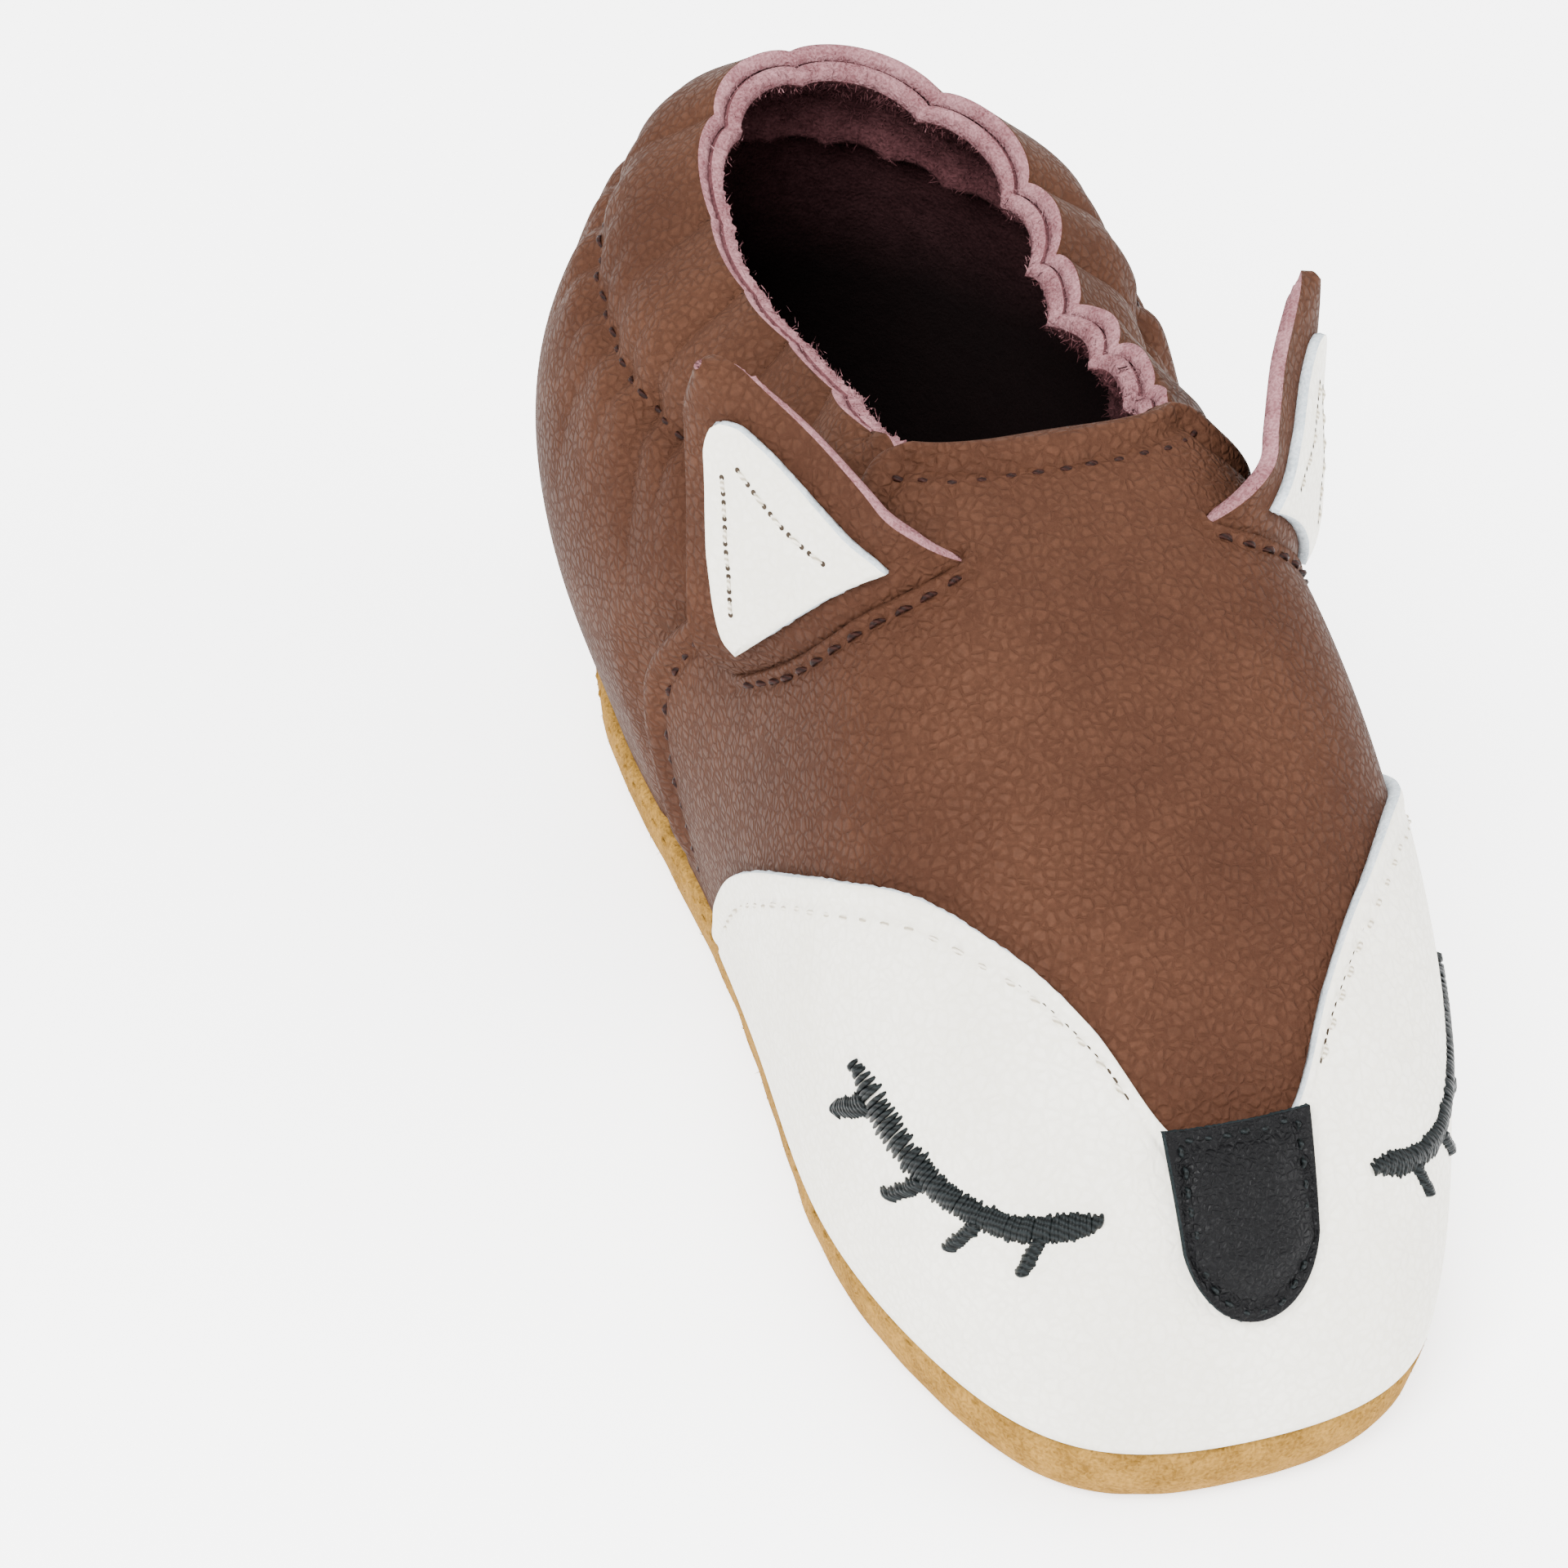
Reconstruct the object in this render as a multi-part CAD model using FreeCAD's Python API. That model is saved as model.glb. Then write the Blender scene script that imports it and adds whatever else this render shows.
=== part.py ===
"""Soft leather baby bootie with a sleeping fox face. Millimetres, toe towards -Y, +Z up.

The sole rests on Z = 0 and the origin is under the middle of the foot. It is the wearer's left shoe.
Every piece of leather follows one smooth surface, the skin of the upper. A place on it is given as
(around, up): around runs 0 to 1 from the toe by the +X side to the heel and back, and up runs from 0
at the seam with the sole to 1 at the edge of the opening.
"""
import FreeCAD, Part
import math
import os

os.makedirs("parts", exist_ok=True)
Vector = FreeCAD.Vector

# ---------------------------------------------------------------- driving dimensions
SEAM_HEIGHT = 6.8        # top of the sole's wrapped edge
LEATHER = 1.4            # brown upper
TRIM = 0.8               # white mask, black nose and the white ear patches
GAP = 0.1                # between leathers that are sewn flat on each other
STITCH_RADIUS = 0.28
STITCH_PITCH = 2.2
SOLE_STITCH = 0.2        # radius of the thread round the sole

# The skin at nine stations from toe to heel, on the +X side. The other side mirrors it.
SEAM_LINE = [(0, -60.2), (12.5, -57.3), (20, -46), (23.5, -29), (21.5, -9), (20, 13), (19.5, 34),
             (14, 52), (0, 61)]
OPENING = [(0, -2.5, 58.5), (8.5, -1.5, 58), (12.5, 4, 56.5), (12.5, 11, 55), (12.5, 19, 54),
           (14, 28, 54.5), (13.5, 39, 56.5), (9, 48, 59.5), (0, 52, 61)]
# How far the side swells outwards just above the seam, and at what height.
LOW_SWELL = [(0.5, 14), (0.5, 14), (1.5, 15), (2.5, 18), (3.5, 18), (5, 18), (6.5, 18), (6.5, 18), (6.5, 18)]
# Where the skin heads as it leaves the opening: outwards, towards the heel, and down.
SHOULDER = [(0, -27, -9), (7.5, -25, -9), (12.5, -20, -11), (12.5, -10, -14), (13.5, -2, -16),
            (17, 0, -16), (20, 3, -16), (13, 13, -16), (0, 18, -16)]
# The big toe is on the -X side, so the front of the foot leans that way.
TOE_LEAN = 2.0

# Half the angle that the vamp spans at each height: its free edge, from the sole up to the throat.
VAMP_EDGE = [(0.0, 0.318), (0.35, 0.307), (0.5, 0.287), (0.67, 0.240), (0.8, 0.185), (0.93, 0.124),
             (0.975, 0.108), (1.0, 0.080)]
# Upper edge of the white mask, as height against the distance round from the middle of the nose.
MASK_EDGE = [(0.0, 0.345), (0.012, 0.36), (0.024, 0.392), (0.041, 0.475), (0.064, 0.535), (0.1, 0.567),
             (0.14, 0.535), (0.18, 0.465), (0.215, 0.385), (0.245, 0.290), (0.27, 0.165), (0.285, 0.05)]
MASK_END = 0.285
UNDERLAP = 0.045         # how far round the heel panel reaches inside the vamp

TONGUE_FRONT = -32.0     # the throat lifts about a line across the foot here
TONGUE_TILT = 22.0       # the flex line drops towards the heel by this angle
BODY_GAP = 0.4           # space between pieces that move apart

EAR_SLIT = [(0.060, 0.880), (0.124, 0.800), (0.222, 0.612)]   # where the ear comes out of the vamp
EAR_TIP = (9.5, 18.5)    # of the +X ear: along the slit from its inner end, and up from the fold
EAR_LEAN = 60.0          # from standing straight out of the leather, back towards the heel
EAR_STAND = 1.6          # the fold's least height above the leather
EAR_THICKNESS = 1.3


# ---------------------------------------------------------------- the skin of the upper
def lean(point):
    """Leans the toe end towards the big toe."""
    share = min(max((-10.0 - point.y) / 50.0, 0.0), 1.0)
    return Vector(point.x - TOE_LEAN * share * share, point.y, point.z)


def both_sides(half):
    """Stations right round the foot from the +X half, with x mirrored."""
    mirrored = [(-p[0],) + tuple(p[1:]) for p in half[-2:0:-1]]
    return [tuple(p) for p in half] + mirrored


def closed_curve(points):
    """Smooth closed curve through the points, evenly numbered from 0 to 1."""
    steps = len(points)
    curve = Part.BSplineCurve()
    curve.interpolate(Points=points, PeriodicFlag=True, Parameters=[i / steps for i in range(steps + 1)])
    return curve


def outward(curve, around):
    """Level direction out of a curve that runs round the foot."""
    along = curve.tangent(around % 1.0)[0]
    return Vector(along.y, -along.x, 0).normalize()


def skin_rows():
    """The four control curves of the skin, from the sole seam to the opening."""
    seam = closed_curve([Vector(x, y, SEAM_HEIGHT) for x, y in both_sides(SEAM_LINE)])
    opening_points = [Vector(*p) for p in both_sides(OPENING)]
    shoulder = [Vector(*p) for p in both_sides(SHOULDER)]
    swell = LOW_SWELL + LOW_SWELL[-2:0:-1]
    stations = len(swell)
    low = []
    for i, (push, height) in enumerate(swell):
        around = i / stations
        low.append(seam.value(around) + outward(seam, around) * push + Vector(0, 0, height))
    high = [p + d for p, d in zip(opening_points, shoulder)]
    return [seam, closed_curve(low), closed_curve(high), closed_curve(opening_points)]


ROWS = skin_rows()


def plain_skin(around, up):
    """A point of the skin before the toe's lean."""
    a, b, c, d = [row.value(around % 1.0) for row in ROWS]
    down = 1.0 - up
    return a * down ** 3 + b * (3 * up * down ** 2) + c * (3 * up ** 2 * down) + d * up ** 3


def skin(around, up, height=0.0):
    """A point of the skin, or of a layer height millimetres outside it."""
    point = lean(plain_skin(around, up))
    if height:
        step = 1e-3
        low = max(up - step, 0.0)
        high = min(up + step, 1.0)
        round_way = lean(plain_skin(around + step, up)) - lean(plain_skin(around - step, up))
        up_way = lean(plain_skin(around, high)) - lean(plain_skin(around, low))
        point = point + round_way.cross(up_way).normalize() * height
    return point


def between(table, x):
    """Smooth curve through a short table of (x, y), read at x."""
    xs = [p[0] for p in table]
    ys = [p[1] for p in table]
    i = 0
    while i < len(xs) - 2 and x > xs[i + 1]:
        i += 1
    slopes = []
    for k in (i, i + 1):
        before = max(k - 1, 0)
        after = min(k + 1, len(xs) - 1)
        slopes.append((ys[after] - ys[before]) / (xs[after] - xs[before]))
    span = xs[i + 1] - xs[i]
    t = min(max((x - xs[i]) / span, 0.0), 1.0)
    rise = ys[i] * (1 + 2 * t) * (1 - t) ** 2 + ys[i + 1] * t * t * (3 - 2 * t)
    bend = slopes[0] * t * (1 - t) ** 2 - slopes[1] * t * t * (1 - t)
    return rise + bend * span


# ---------------------------------------------------------------- solids
def solid_between(low, high):
    """Closed solid between two grids of points of the same size."""
    surfaces = []
    for grid in (low, high):
        surface = Part.BSplineSurface()
        surface.interpolate(grid)
        surfaces.append(surface)
    faces = [surface.toShape() for surface in surfaces]
    ends = [surface.bounds() for surface in surfaces]
    for pick in (0, 1):
        rims = [surface.uIso(end[pick]).toShape() for surface, end in zip(surfaces, ends)]
        faces.append(Part.makeRuledSurface(rims[0], rims[1]))
    for pick in (2, 3):
        rims = [surface.vIso(end[pick]).toShape() for surface, end in zip(surfaces, ends)]
        faces.append(Part.makeRuledSurface(rims[0], rims[1]))
    shell = Part.makeShell(faces)
    shell.sewShape()
    solid = Part.makeSolid(shell)
    if solid.Volume < 0:
        solid.reverse()
    return solid


def laid(place, inner, outer, across=24, along=12):
    """Sheet on the skin. place(s, t) gives (around, up, sink) for s and t from 0 to 1."""
    grids = []
    for height in (inner, outer):
        grid = []
        for i in range(across + 1):
            row = []
            for j in range(along + 1):
                around, up, sink = place(i / across, j / along)
                row.append(skin(around, up, height - sink))
            grid.append(row)
        grids.append(grid)
    return solid_between(grids[0], grids[1])


def one_stitch(start, end, radius=STITCH_RADIUS):
    """One visible length of thread."""
    way = end - start
    return Part.makeCylinder(radius, way.Length, start, way)


def stitches(path, first, last, height, radius=STITCH_RADIUS, pitch=STITCH_PITCH):
    """Row of stitches along path(t), which gives (around, up)."""
    samples = 60
    points = [skin(*path(first + (last - first) * i / samples), height + radius) for i in range(samples + 1)]
    length = sum((b - a).Length for a, b in zip(points, points[1:]))
    count = max(int(length / pitch), 1)
    pieces = []
    for i in range(count):
        ends = []
        for share in (0.18, 0.82):
            t = first + (last - first) * (i + share) / count
            ends.append(skin(*path(t), height + radius))
        pieces.append(one_stitch(ends[0], ends[1], radius))
    return pieces


def save(node, shape):
    """Writes one node. A list becomes one compound of separate solids."""
    if isinstance(shape, list):
        shape = Part.makeCompound(shape)
    shape.exportStep("parts/" + node + ".step")


# ---------------------------------------------------------------- the sole
def sole_outline(inset, height):
    """Closed wire round the sole, inset millimetres inside the seam line."""
    count = 48
    points = []
    for i in range(count):
        around = i / count
        point = ROWS[0].value(around) - outward(ROWS[0], around) * inset
        point = lean(point)
        points.append(Vector(point.x, point.y, height))
    return Part.Wire(closed_curve(points).toShape())


def plate(inset, low, high):
    """Flat layer with the shape of the sole."""
    return Part.Face(sole_outline(inset, low)).extrude(Vector(0, 0, high - low))


def outsole():
    """Suede tray: a rounded edge outside, a flat floor inside."""
    edge = [(2.8, 0.0), (1.4, 0.5), (0.3, 2.0), (-0.3, 4.0), (-0.5, SEAM_HEIGHT - 0.3)]
    outside = Part.makeLoft([sole_outline(inset, z) for inset, z in edge], True, False)
    return outside.cut(plate(1.9, 1.8, SEAM_HEIGHT + 1))


def sole_seam():
    """Small stitches round the top of the sole's wrapped edge."""
    rim = sole_outline(-0.5 - SOLE_STITCH - 0.05, SEAM_HEIGHT - 0.9).Edges[0].Curve
    count = 120
    pieces = []
    for i in range(count):
        pieces.append(one_stitch(rim.value((i + 0.2) / count), rim.value((i + 0.7) / count), SOLE_STITCH))
    return pieces


# ---------------------------------------------------------------- the upper
def vamp_place(s, t):
    """Brown front piece: one free edge runs up a flank, over the instep and down the other flank."""
    up = 0.004 + 0.996 * t
    return ((2 * s - 1) * between(VAMP_EDGE, up), up, 0.0)


def beyond_flex_line(above):
    """Block on one side of the line that the throat lifts about."""
    block = Part.makeBox(120, 160, 80, Vector(-60, 0, 0))
    if not above:
        block = Part.makeBox(120, 200, 80, Vector(-60, -40, -80))
    block.translate(Vector(0, 0, BODY_GAP / 2 if above else -BODY_GAP / 2))
    block.rotate(Vector(0, 0, 0), Vector(1, 0, 0), -TONGUE_TILT)
    block.translate(tongue_axis_point())
    return block


def tongue_axis_point():
    """Where the flex line crosses the middle of the foot, on the outside of the leather."""
    low, high = 0.3, 0.95
    for _ in range(40):
        middle = (low + high) / 2
        if skin(0, middle).y < TONGUE_FRONT:
            low = middle
        else:
            high = middle
    point = skin(0, low)
    return Vector(0, point.y - 0.6, point.z)


def heel_place(s, t):
    """Brown back piece, tucked inside the vamp at both ends."""
    up = 0.004 + 0.996 * t
    edge = between(VAMP_EDGE, up)
    start = edge - UNDERLAP
    around = start + (1 - 2 * start) * s
    covered = edge + 0.030 - min(around, 1 - around)
    share = min(max(covered / 0.022, 0.0), 1.0)
    return (around, up, (LEATHER + 0.95) * share * share * (3 - 2 * share))


def collar_band(low, high):
    """Part of the heel panel's height, for the layers inside the collar."""
    def place(s, t):
        around, up, sink = heel_place(0.03 + 0.94 * s, low + (high - low) * t)
        return (around, up, sink)
    return place


def mask_place(s, t):
    """White face piece, from the sole seam up to two cheek arches that meet at the nose."""
    around = (2 * s - 1) * MASK_END
    return (around, 0.006 + (between(MASK_EDGE, abs(around)) - 0.006) * t, 0.0)


def mask_path(t):
    """Line of topstitching just inside the mask's upper edge."""
    around = (2 * t - 1) * MASK_END
    return (around * 0.985, between(MASK_EDGE, abs(around)) - 0.030)


NOSE_HALF = 0.0245
NOSE_TOP = 0.385
NOSE_BOTTOM = 0.190


def nose_outline(s, t, inset=0.0):
    """D shape with a flat top and a round bottom, as (around, up)."""
    side = 2 * s - 1
    low = NOSE_BOTTOM + 0.105 * (1 - math.sqrt(max(1 - 0.94 * side * side, 0.0)))
    half = NOSE_HALF * (0.93 + 0.07 * t)
    up = low + (NOSE_TOP - low) * t
    middle = (NOSE_TOP + NOSE_BOTTOM) / 2
    return (side * half * (1 - inset), middle + (up - middle) * (1 - inset * 0.55))


def nose_place(s, t):
    around, up = nose_outline(s, t)
    return (around, up, 0.0)


def nose_path(t):
    """Stitch line round the nose, starting along the flat top."""
    if t < 0.25:
        s, v = t * 4, 1.0
    elif t < 0.45:
        s, v = 1.0, 1 - (t - 0.25) / 0.2
    elif t < 0.8:
        s, v = 1 - (t - 0.45) / 0.35, 0.0
    else:
        s, v = 0.0, (t - 0.8) / 0.2
    return nose_outline(s, v, 0.17)


# ---------------------------------------------------------------- embroidered eyelashes
LASH_ARC = [(0.050, 0.305), (0.075, 0.285), (0.100, 0.280), (0.125, 0.300), (0.145, 0.345)]
LASH_SPOTS = [0.22, 0.47, 0.70, 0.93]
LASH_WIDTH = 1.9
LASH_LENGTH = 3.4


def lash_point(t, drop):
    """Point of a closed eye: t along its arc, drop millimetres below it."""
    around = LASH_ARC[0][0] + (LASH_ARC[-1][0] - LASH_ARC[0][0]) * t
    up = between(LASH_ARC, around)
    here = skin(around, up)
    step = 0.004
    along = skin(around + step, between(LASH_ARC, around + step)) - skin(around - step,
                                                                         between(LASH_ARC, around - step))
    climb = skin(around, up + step) - here
    along = along.normalize()
    climb = climb / step
    down = climb - along * climb.dot(along)
    lift = drop / max(down.Length, 1e-6)
    sideways = (skin(around + step, up) - skin(around - step, up)) / (2 * step)
    slide = lift * climb.dot(along) / max(sideways.dot(along), 1e-6)
    return (around + slide, up - lift)


def eyelash(side):
    """Padded satin-stitch arc and four short lashes under it."""
    pieces = []

    def arc(s, t):
        around, up = lash_point(s, (1 - t) * LASH_WIDTH - LASH_WIDTH / 2)
        return (around * side, up, 0.0)
    pieces.append(laid(arc, TRIM + 2 * GAP, TRIM + 2 * GAP + 0.6, 14, 3))
    for spot in LASH_SPOTS:
        def lash(s, t, spot=spot):
            reach = LASH_WIDTH / 2 + 0.15 + (1 - t) * (LASH_LENGTH - LASH_WIDTH / 2)
            around, up = lash_point(spot + (s - 0.5) * 0.07 + (1 - t) * 0.05, reach)
            return (around * side, up, 0.0)
        pieces.append(laid(lash, TRIM + 2 * GAP, TRIM + 2 * GAP + 0.6, 3, 4))
    return pieces


# ---------------------------------------------------------------- ears
def ear_frame():
    """The +X ear's fold: its inner end, then the ways across it, up the flap and out of the vamp."""
    line = [skin(*ear_slit(i / 20)) for i in range(21)]
    across = (line[-1] - line[0]).normalize()
    straight_out = skin(*ear_slit(0.5), 1.0) - skin(*ear_slit(0.5))
    straight_out = (straight_out - across * straight_out.dot(across)).normalize()
    bulge = max((point - line[0]).dot(straight_out) for point in line)
    backwards = straight_out.cross(across)
    if backwards.z < 0:
        backwards = backwards * -1
    tilt = math.radians(EAR_LEAN)
    rise = straight_out * math.cos(tilt) + backwards * math.sin(tilt)
    return line[0] + straight_out * (bulge + EAR_STAND), across, rise, straight_out


def ear_slit(t):
    """Along the slit, from its inner end to its outer end."""
    around = EAR_SLIT[0][0] + (EAR_SLIT[-1][0] - EAR_SLIT[0][0]) * t
    return (around, between(EAR_SLIT, around))


def ear_blade(left, right, tip, tip_radius, base):
    """Flat ear shape in its own plane: straight base, bowed sides and a rounded tip."""
    tip_left = Vector(tip[0] - tip_radius * 0.95, tip[1] - tip_radius * 0.35, 0)
    tip_right = Vector(tip[0] + tip_radius * 0.80, tip[1] - tip_radius * 0.80, 0)
    low_left = Vector(left, base, 0)
    low_right = Vector(right, base, 0)
    bow_left = (low_left + tip_left) * 0.5 + Vector(-0.9, 0.7, 0)
    bow_right = (low_right + tip_right) * 0.5 + Vector(0.8, 0.1, 0)
    edges = [Part.makeLine(low_left, low_right),
             Part.Arc(low_right, bow_right, tip_right).toShape(),
             Part.Arc(tip_right, Vector(tip[0], tip[1], 0), tip_left).toShape(),
             Part.Arc(tip_left, bow_left, low_left).toShape()]
    return Part.Face(Part.Wire(edges))


def placed_in(shape, corner, across, rise):
    """Moves a shape drawn with x across and y up so that it stands on the +X ear's fold line."""
    face = across.cross(rise)
    matrix = FreeCAD.Matrix(across.x, rise.x, face.x, corner.x,
                            across.y, rise.y, face.y, corner.y,
                            across.z, rise.z, face.z, corner.z,
                            0, 0, 0, 1)
    placed = shape.copy()
    placed.Placement = FreeCAD.Placement(matrix).multiply(shape.Placement)
    return placed


def mirrored(shape):
    """The same piece on the -X side."""
    return shape.mirror(Vector(0, 0, 0), Vector(1, 0, 0))


def ear_shapes():
    """The +X ear: root strip, flap, white patch and the patch's stitches."""
    corner, across, rise, straight_out = ear_frame()
    width = (skin(*EAR_SLIT[-1]) - skin(*EAR_SLIT[0])).Length
    half = EAR_THICKNESS / 2

    flap = ear_blade(0.4, width - 0.4, EAR_TIP, 2.6, 0.0).extrude(Vector(0, 0, EAR_THICKNESS))
    flap.translate(Vector(0, 0, -half))
    barrel = Part.makeCylinder(half, width - 0.8, Vector(0.4, 0, 0), Vector(1, 0, 0))
    flap = flap.fuse(barrel).removeSplitter()

    top = -half - BODY_GAP
    bottom = []
    for i in range(13):
        point = skin(*ear_slit(i / 12)) - corner
        bottom.append(Vector(0.4 + (width - 0.8) * i / 12, point.dot(straight_out) - 0.9, 0))
    curve = Part.BSplineCurve()
    curve.interpolate(Points=bottom)
    upper_left = Vector(bottom[0].x, top, 0)
    upper_right = Vector(bottom[-1].x, top, 0)
    edges = [curve.toShape(), Part.makeLine(bottom[-1], upper_right),
             Part.makeLine(upper_right, upper_left), Part.makeLine(upper_left, bottom[0])]
    root = Part.Face(Part.Wire(edges)).extrude(Vector(0, 0, EAR_THICKNESS))
    root.translate(Vector(0, 0, -half))

    patch_tip = (EAR_TIP[0] + 0.2, EAR_TIP[1] - 3.6)
    patch = ear_blade(3.4, width - 3.4, patch_tip, 1.5, 0.9).extrude(Vector(0, 0, TRIM - 0.2))
    patch.translate(Vector(0, 0, half + 0.05))

    height = half + 0.05 + TRIM - 0.2 + STITCH_RADIUS + 0.02
    corners = [Vector(5.8, 2.4, height), Vector(patch_tip[0] + 0.1, patch_tip[1] - 2.6, height),
               Vector(width - 6.4, 2.4, height)]
    thread = []
    for a, b in zip(corners, corners[1:]):
        count = int((b - a).Length / STITCH_PITCH)
        for i in range(count):
            start = a + (b - a) * ((i + 0.2) / count)
            end = a + (b - a) * ((i + 0.8) / count)
            thread.append(one_stitch(start, end, 0.2))

    standing = [placed_in(root, corner, across, straight_out)]
    for shape in (flap, patch, Part.makeCompound(thread)):
        standing.append(placed_in(shape, corner, across, rise))
    return standing


def ear_seam(side):
    """Brown stitches through the vamp just below the ear's slit."""
    def path(t):
        around, up = ear_slit(t)
        return ((around - 0.004) * side, up - 0.026)
    return stitches(path, 0.0, 1.0, 0.05)


# ---------------------------------------------------------------- write the nodes
def throat_path(t):
    """Just inside the vamp's free edge, from one flank over the instep to the other."""
    if t < 0.4:
        up = t / 0.4
        return (-between(VAMP_EDGE, up) + 0.014 * (1 - up * 0.2), min(up, 0.955))
    if t > 0.6:
        up = (1 - t) / 0.4
        return (between(VAMP_EDGE, up) - 0.014 * (1 - up * 0.2), min(up, 0.955))
    return ((t - 0.5) / 0.1 * (between(VAMP_EDGE, 1.0) - 0.011), 0.955)


def above_flex_line(piece):
    """True if a stitch lies on the part that lifts."""
    way = piece.CenterOfMass - tongue_axis_point()
    tilt = math.radians(-TONGUE_TILT)
    return way.z * math.cos(tilt) - way.y * math.sin(tilt) > 0


save("outsole", outsole())
save("sole_seam", sole_seam())
save("insole_foam", plate(2.3, 1.9, 4.6))
save("insole_lining", plate(2.5, 4.7, 5.5))

vamp = laid(vamp_place, -LEATHER, 0.0, 44, 18)
save("vamp_lower", vamp.common(beyond_flex_line(False)))
save("vamp_tongue", vamp.common(beyond_flex_line(True)))
save("heel_panel", laid(heel_place, -LEATHER, 0.0, 96, 20))
save("collar_elastic", laid(collar_band(0.86, 0.93), -LEATHER - 0.70, -LEATHER - 0.25, 96, 4))
save("collar_facing", laid(collar_band(0.80, 1.0), -LEATHER - 2.1, -LEATHER - 1.0, 96, 6))
save("toe_mask", laid(mask_place, GAP, GAP + TRIM, 56, 10))
save("nose_patch", laid(nose_place, TRIM + 2 * GAP, 2 * TRIM + 2 * GAP, 12, 10))
save("mask_topstitch", stitches(mask_path, 0.03, 0.440, TRIM + GAP + 0.02, 0.2)
     + stitches(mask_path, 0.560, 0.97, TRIM + GAP + 0.02, 0.2))
save("nose_stitch", stitches(nose_path, 0.0, 1.0, 2 * TRIM + 2 * GAP + 0.02, 0.2, 1.5))
save("eyelash_left", eyelash(-1))
save("eyelash_right", eyelash(1))

hem = stitches(throat_path, 0.02, 0.98, 0.02)
save("throat_stitch", [piece for piece in hem if above_flex_line(piece)])
save("side_stitch", [piece for piece in hem if not above_flex_line(piece)])


def collar_path(t):
    return (0.212 + 0.576 * t, 0.80)


save("collar_stitch", stitches(collar_path, 0.0, 1.0, 0.07))

EAR_NODES = ("root", "flap", "patch", "patch_stitch")
for name, shape in zip(EAR_NODES, ear_shapes()):
    save("ear_right_" + name, shape)
    save("ear_left_" + name, mirrored(shape))
save("ear_right_seam", ear_seam(1))
save("ear_left_seam", ear_seam(-1))
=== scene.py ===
"""The look of the soft leather baby bootie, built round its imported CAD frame."""

import math

import bpy
import numpy as np
from mathutils import Matrix, Vector


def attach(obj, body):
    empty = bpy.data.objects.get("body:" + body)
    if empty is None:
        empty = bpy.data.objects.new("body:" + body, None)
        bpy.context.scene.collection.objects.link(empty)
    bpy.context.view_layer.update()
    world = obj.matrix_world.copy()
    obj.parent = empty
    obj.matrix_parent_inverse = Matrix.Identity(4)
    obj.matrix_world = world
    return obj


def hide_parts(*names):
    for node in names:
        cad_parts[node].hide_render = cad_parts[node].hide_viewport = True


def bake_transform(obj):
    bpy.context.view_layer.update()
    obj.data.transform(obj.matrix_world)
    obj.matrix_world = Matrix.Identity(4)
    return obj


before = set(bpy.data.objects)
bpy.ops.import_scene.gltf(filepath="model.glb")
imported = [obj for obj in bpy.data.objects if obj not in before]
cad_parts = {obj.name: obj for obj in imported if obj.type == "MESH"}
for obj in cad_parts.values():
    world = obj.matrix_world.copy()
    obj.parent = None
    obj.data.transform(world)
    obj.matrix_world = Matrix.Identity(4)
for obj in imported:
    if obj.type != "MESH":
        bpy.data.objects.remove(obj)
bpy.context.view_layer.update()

MM = 0.001
rng = np.random.default_rng(7)

# ---------------------------------------------------------------- dimensions, as in part.py, in millimetres
SEAM_HEIGHT = 6.8
LEATHER = 1.4
TRIM = 0.8
GAP = 0.1
STITCH_PITCH = 2.2
SEAM_LINE = [(0, -60.2), (12.5, -57.3), (20, -46), (23.5, -29), (21.5, -9), (20, 13), (19.5, 34),
             (14, 52), (0, 61)]
OPENING = [(0, -2.5, 58.5), (8.5, -1.5, 58), (12.5, 4, 56.5), (12.5, 11, 55), (12.5, 19, 54),
           (14, 28, 54.5), (13.5, 39, 56.5), (9, 48, 59.5), (0, 52, 61)]
LOW_SWELL = [(0.5, 14), (0.5, 14), (1.5, 15), (2.5, 18), (3.5, 18), (5, 18), (6.5, 18), (6.5, 18),
             (6.5, 18)]
SHOULDER = [(0, -27, -9), (7.5, -25, -9), (12.5, -20, -11), (12.5, -10, -14), (13.5, -2, -16),
            (17, 0, -16), (20, 3, -16), (13, 13, -16), (0, 18, -16)]
TOE_LEAN = 2.0
VAMP_EDGE = [(0.0, 0.318), (0.35, 0.307), (0.5, 0.287), (0.67, 0.240), (0.8, 0.185), (0.93, 0.124),
             (0.975, 0.108), (1.0, 0.080)]
MASK_EDGE = [(0.0, 0.345), (0.012, 0.36), (0.024, 0.392), (0.041, 0.475), (0.064, 0.535), (0.1, 0.567),
             (0.14, 0.535), (0.18, 0.465), (0.215, 0.385), (0.245, 0.290), (0.27, 0.165), (0.285, 0.05)]
MASK_END = 0.285
UNDERLAP = 0.045
TUCK = 0.022
FACING_LOW = 0.80
FACING_TOP = 1.004
ELASTIC_LOW = 0.86
ELASTIC_TOP = 0.93
TONGUE_FRONT = -32.0
TONGUE_TILT = 22.0
EAR_SLIT = [(0.060, 0.880), (0.124, 0.800), (0.222, 0.612)]
EAR_TIP = (9.5, 18.5)
EAR_LEAN = 60.0
EAR_STAND = 1.6
EAR_FOLD = 3.0
EAR_APEX = 3.2
EAR_ROUND = 2.4
EAR_THICKNESS = 1.3
NOSE_HALF = 0.0245
NOSE_TOP = 0.385
NOSE_BOTTOM = 0.190
LASH_ARC = [(0.050, 0.305), (0.075, 0.285), (0.100, 0.280), (0.125, 0.300), (0.145, 0.345)]
LASH_SPOTS = [0.22, 0.47, 0.70, 0.93]
LASH_WIDTH = 1.9
LASH_LENGTH = 3.4
LASH_PITCH = 0.30
LASH_ARC_LENGTH = 23.0
SOLE_STATIONS = 420

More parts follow.
